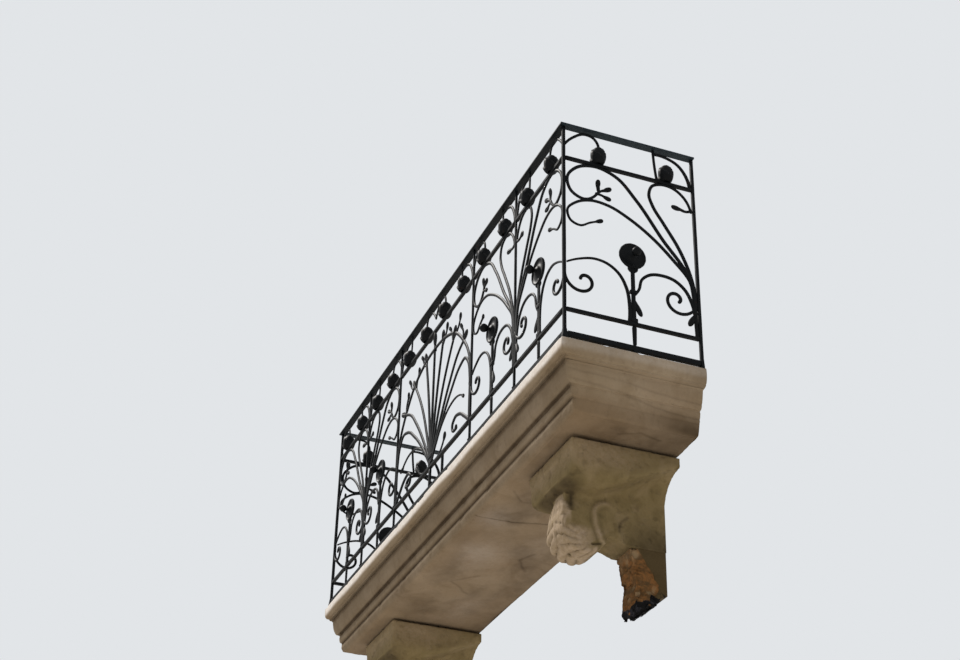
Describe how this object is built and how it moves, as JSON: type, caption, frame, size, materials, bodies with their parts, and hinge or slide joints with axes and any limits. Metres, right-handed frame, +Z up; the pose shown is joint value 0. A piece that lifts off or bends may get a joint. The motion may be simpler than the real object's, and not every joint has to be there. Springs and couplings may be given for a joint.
{
  "type": "wrought iron balcony",
  "caption": "Stone balcony slab with moulded edge on scrolled corbels, and a wrought iron railing of whiplash scrollwork, fan, disc flowers and round buds.",
  "frame": {"origin": "middle of the slab's back face, in the wall plane, half way up the slab", "axes": "+X along the wall, to the right as seen from the street, +Y into the wall, so the balcony stands out towards -Y, +Z up"},
  "size_m": [3.1224, 0.6611, 2.0363],
  "materials": {
    "wrought_iron": "satin",
    "stone_slab": "matte",
    "carved_stone": "matte",
    "broken_stone": "matte"
  },
  "bodies": {
    "root": {"slab": "stone_slab", "bed_mould": "stone_slab", "plate_right": "carved_stone", "plate_left": "carved_stone", "console_right": "carved_stone", "console_left": "carved_stone", "volute_right": "carved_stone", "volute_left": "carved_stone", "tail_right": "broken_stone", "tail_left": "carved_stone", "post_right": "wrought_iron", "post_left": "wrought_iron", "wall_post_right": "wrought_iron", "wall_post_left": "wrought_iron", "bars_right": "wrought_iron", "bars_left": "wrought_iron", "handrail_front": "wrought_iron", "handrail_right": "wrought_iron", "handrail_left": "wrought_iron", "upper_rail_front": "wrought_iron", "upper_rail_right": "wrought_iron", "upper_rail_left": "wrought_iron", "lower_rail_front": "wrought_iron", "lower_rail_right": "wrought_iron", "lower_rail_left": "wrought_iron", "base_rail_front": "wrought_iron", "base_rail_right": "wrought_iron", "base_rail_left": "wrought_iron", "fan": "wrought_iron", "scroll_outer_right": "wrought_iron", "scroll_outer_left": "wrought_iron", "scroll_inner_right": "wrought_iron", "scroll_inner_left": "wrought_iron", "scroll_side_right": "wrought_iron", "scroll_side_left": "wrought_iron", "discs_front": "wrought_iron", "disc_side_right": "wrought_iron", "disc_side_left": "wrought_iron", "buds_front": "wrought_iron", "buds_side_right": "wrought_iron", "buds_side_left": "wrought_iron"}
  },
  "joints": []
}
